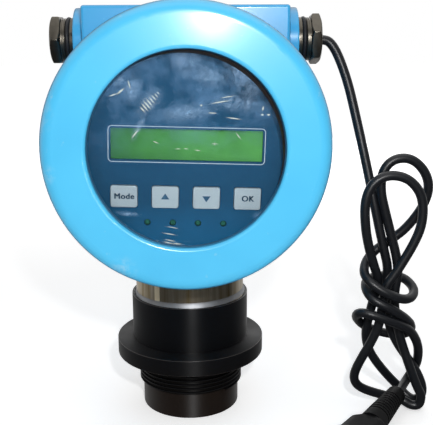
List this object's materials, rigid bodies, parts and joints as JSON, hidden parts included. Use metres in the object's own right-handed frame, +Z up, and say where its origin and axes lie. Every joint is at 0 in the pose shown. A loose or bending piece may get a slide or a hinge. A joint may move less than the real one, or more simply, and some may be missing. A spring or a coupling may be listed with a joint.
{
  "type": "ultrasonic open channel flow meter",
  "caption": "Round blue field transmitter with a window, display and keys on a steel neck, over a black flanged ultrasonic sensor with a pipe thread, with a coiled mains cable.",
  "frame": {"origin": "on the sensor's axis, on the lower face of its flange, where the thread begins", "axes": "+Z up along the sensor's axis, -Y towards the reader of the display, +X to the entry with the cable"},
  "size_m": [0.2098, 0.1521, 0.2279],
  "materials": {
    "blue_enamel": "glossy sprayed enamel over a casting",
    "clear_glass": "polished",
    "black_rubber": "moulded, matt",
    "black_acetal": "turned, satin",
    "stainless_steel": "turned, fine lines round the axis",
    "nickel_plate": "nickel plated, a little dull",
    "panel_film": "printed dark blue film",
    "key_plastic": "fine grain, pale grey",
    "lcd_green": "green liquid crystal glass, blank",
    "black_steel_sheet": "black painted",
    "led_lens": "tinted lens, unlit",
    "circuit_board": "solder mask",
    "board_parts_black": "moulded",
    "relay_blue": "moulded",
    "terminal_green": "moulded",
    "zinc_plate": "zinc plated",
    "transformer_lacquer": "lacquered core",
    "filled_epoxy": "cast, ground flat",
    "piezo_ceramic": "fired, silvered",
    "cable_jacket": "extruded, satin",
    "plug_blade": "bright"
  },
  "bodies": {
    "housing": {"housing": "blue_enamel", "front_panel": "panel_film", "panel_screws": "zinc_plate", "lcd_frame": "black_steel_sheet", "lcd_glass": "lcd_green", "lcd_backlight": "lcd_green", "lcd_board": "circuit_board", "display_board": "circuit_board", "panel_standoffs": "zinc_plate", "key_switches": "board_parts_black", "relay_led_1": "led_lens", "relay_led_2": "led_lens", "relay_led_3": "led_lens", "relay_led_4": "led_lens", "main_board": "circuit_board", "main_board_screws": "zinc_plate", "relay_1": "relay_blue", "relay_2": "relay_blue", "relay_3": "relay_blue", "relay_4": "relay_blue", "power_transformer": "transformer_lacquer", "terminal_block_left": "terminal_green", "terminal_block_right": "terminal_green", "filter_capacitor": "board_parts_black", "sensor_connector": "board_parts_black", "transducer_lead": "cable_jacket", "steel_neck": "stainless_steel", "neck_o_ring": "black_rubber", "sensor_body": "black_acetal", "matching_layer": "filled_epoxy", "piezo_disc": "piezo_ceramic", "damping_block": "filled_epoxy", "entry_1_screw": "nickel_plate", "entry_1_o_ring": "black_rubber", "entry_1_washer": "zinc_plate", "entry_1_blank_bush": "black_rubber", "entry_2_screw": "nickel_plate", "entry_2_o_ring": "black_rubber", "entry_2_washer": "zinc_plate", "entry_2_bush": "black_rubber", "cable_lead": "cable_jacket", "cable_hank": "cable_jacket", "cable_tail": "cable_jacket", "plug_body": "cable_jacket", "plug_pin_live": "plug_blade", "plug_pin_neutral": "plug_blade", "plug_pin_earth": "plug_blade"},
    "cover_seal": {"cover_o_ring": "black_rubber"},
    "cover": {"cover_ring": "blue_enamel", "window_glass": "clear_glass", "window_gasket": "black_rubber", "glass_retainer": "black_steel_sheet"},
    "mode_key": {"key_mode": "key_plastic"},
    "up_key": {"key_up": "key_plastic"},
    "down_key": {"key_down": "key_plastic"},
    "ok_key": {"key_ok": "key_plastic"}
  },
  "joints": [
    {"name": "cover_travel", "type": "slide", "parent": "housing", "child": "cover_seal", "axis": [0, -1, 0], "range_m": [0, 0.00901]},
    {"name": "cover_turn", "type": "hinge", "parent": "cover_seal", "child": "cover", "pos_m": [0, -0.05, 0.1253], "axis": [0, -1, 0], "range_deg": [0, 1080]},
    {"name": "mode_press", "type": "slide", "parent": "housing", "child": "mode_key", "axis": [0, 1, 0], "range_m": [0, 0.0005], "stiffness_N_per_m": 3000},
    {"name": "up_press", "type": "slide", "parent": "housing", "child": "up_key", "axis": [0, 1, 0], "range_m": [0, 0.0005], "stiffness_N_per_m": 3000},
    {"name": "down_press", "type": "slide", "parent": "housing", "child": "down_key", "axis": [0, 1, 0], "range_m": [0, 0.0005], "stiffness_N_per_m": 3000},
    {"name": "ok_press", "type": "slide", "parent": "housing", "child": "ok_key", "axis": [0, 1, 0], "range_m": [0, 0.0005], "stiffness_N_per_m": 3000}
  ],
  "couplings": [
    {"joint": "cover_travel", "follows": "cover_turn", "m_per_rad": 0.00047746}
  ]
}
